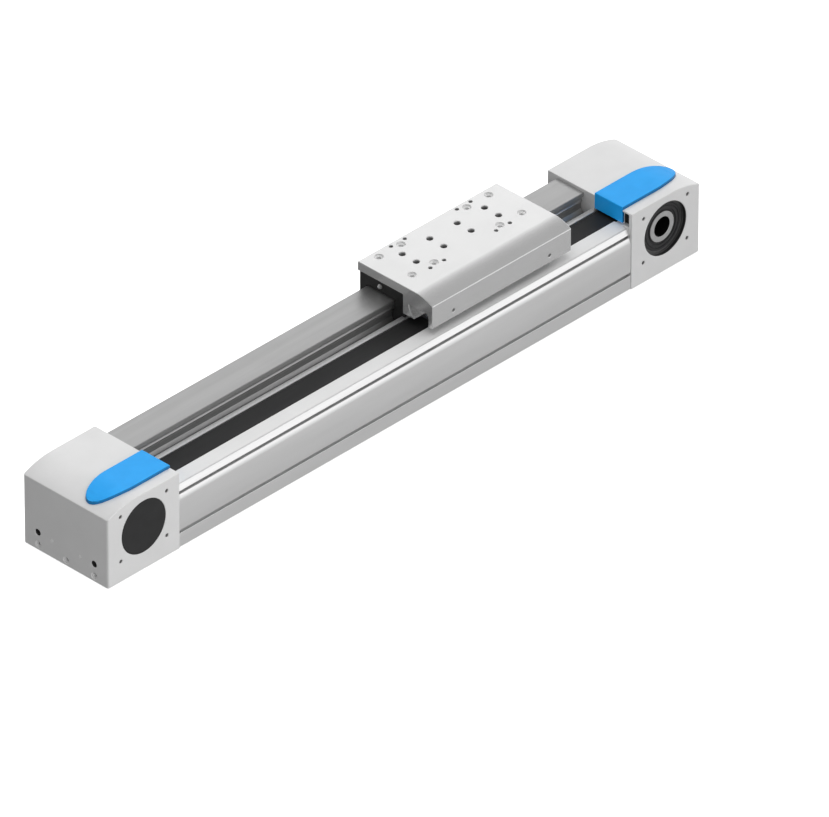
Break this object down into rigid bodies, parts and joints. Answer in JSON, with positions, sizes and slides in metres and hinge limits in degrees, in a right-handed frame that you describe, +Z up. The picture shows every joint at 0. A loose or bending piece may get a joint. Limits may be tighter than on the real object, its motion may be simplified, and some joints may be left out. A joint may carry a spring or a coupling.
{
  "type": "belt driven linear axis",
  "caption": "Belt driven linear axis: aluminium profile with guide rail and carriage, toothed belt round two pulleys in end housings, hollow drive shaft.",
  "frame": {"origin": "on the mounting plane under the middle of the axis", "axes": "+X from the idler end to the drive end, +Y from the belt side to the rail side, +Z up through the load face"},
  "size_m": [0.857, 0.12, 0.1141],
  "materials": {
    "profile_aluminium": "matt anodised extrusion",
    "housing_aluminium": "fine matt light grey casting",
    "carriage_aluminium": "matt anodised, milled",
    "support_aluminium": "turned",
    "rail_steel": "ground, fine lines along its length",
    "strip_steel": "fine brushed along its length",
    "runner_steel": "ground",
    "shaft_steel": "fine turned",
    "pulley_steel": "machined",
    "flange_steel": "stamped",
    "bearing_steel": "ground and polished",
    "dowel_steel": "ground",
    "screw_steel": "zinc plated",
    "nipple_steel": "zinc plated",
    "clamp_dark": "dark anodised",
    "belt_black": "matt, fine ribbed back",
    "seal_black": "matt",
    "end_seal_black": "satin",
    "end_cap_black": "satin",
    "cap_black": "fine matt",
    "cover_blue": "satin, fine grain"
  },
  "bodies": {
    "base": {"base_profile": "profile_aluminium", "guide_rail": "rail_steel", "rail_screws": "screw_steel", "rail_cover_strip": "strip_steel", "idler_housing": "housing_aluminium", "idler_belt_cover": "cover_blue", "drive_housing": "housing_aluminium", "drive_belt_cover": "cover_blue", "housing_screws": "screw_steel", "end_dowels": "dowel_steel", "toothed_belt": "belt_black", "drive_bearing_outer_rings": "bearing_steel", "drive_seal_front": "seal_black", "drive_seal_back": "seal_black", "idler_cap_front": "cap_black", "idler_cap_back": "cap_black", "idler_bearing_inner_rings": "bearing_steel", "idler_axle_supports": "support_aluminium", "idler_axle": "shaft_steel", "idler_spacers": "shaft_steel"},
    "carriage": {"carriage_plate": "carriage_aluminium", "belt_clamps": "clamp_dark", "belt_tension_screws": "screw_steel", "runner_left": "runner_steel", "runner_right": "runner_steel", "end_seal_left": "end_seal_black", "end_seal_right": "end_seal_black", "runner_end_caps": "end_cap_black", "runner_screws": "screw_steel", "grease_nipples": "nipple_steel"},
    "drive_shaft": {"drive_pulley": "shaft_steel", "drive_pulley_flanges": "flange_steel", "drive_bearing_inner_rings": "bearing_steel", "drive_spacers": "shaft_steel"},
    "idler_wheel": {"idler_pulley": "pulley_steel", "idler_pulley_flanges": "flange_steel", "idler_bearing_outer_rings": "bearing_steel"}
  },
  "joints": [
    {"name": "carriage_slide", "type": "slide", "parent": "base", "child": "carriage", "axis": [1, 0, 0], "range_m": [-0.3473, 0.0527], "deforming": ["toothed_belt"]},
    {"name": "drive_shaft_turn", "type": "hinge", "parent": "base", "child": "drive_shaft", "pos_m": [0.3775, 0, 0.0515], "axis": [0, 1, 0], "continuous": true},
    {"name": "idler_turn", "type": "hinge", "parent": "base", "child": "idler_wheel", "pos_m": [-0.3775, 0, 0.0515], "axis": [0, 1, 0], "continuous": true}
  ],
  "couplings": [
    {"joint": "drive_shaft_turn", "follows": "carriage_slide", "rad_per_m": 50.265},
    {"joint": "idler_turn", "follows": "carriage_slide", "rad_per_m": 50.265}
  ]
}
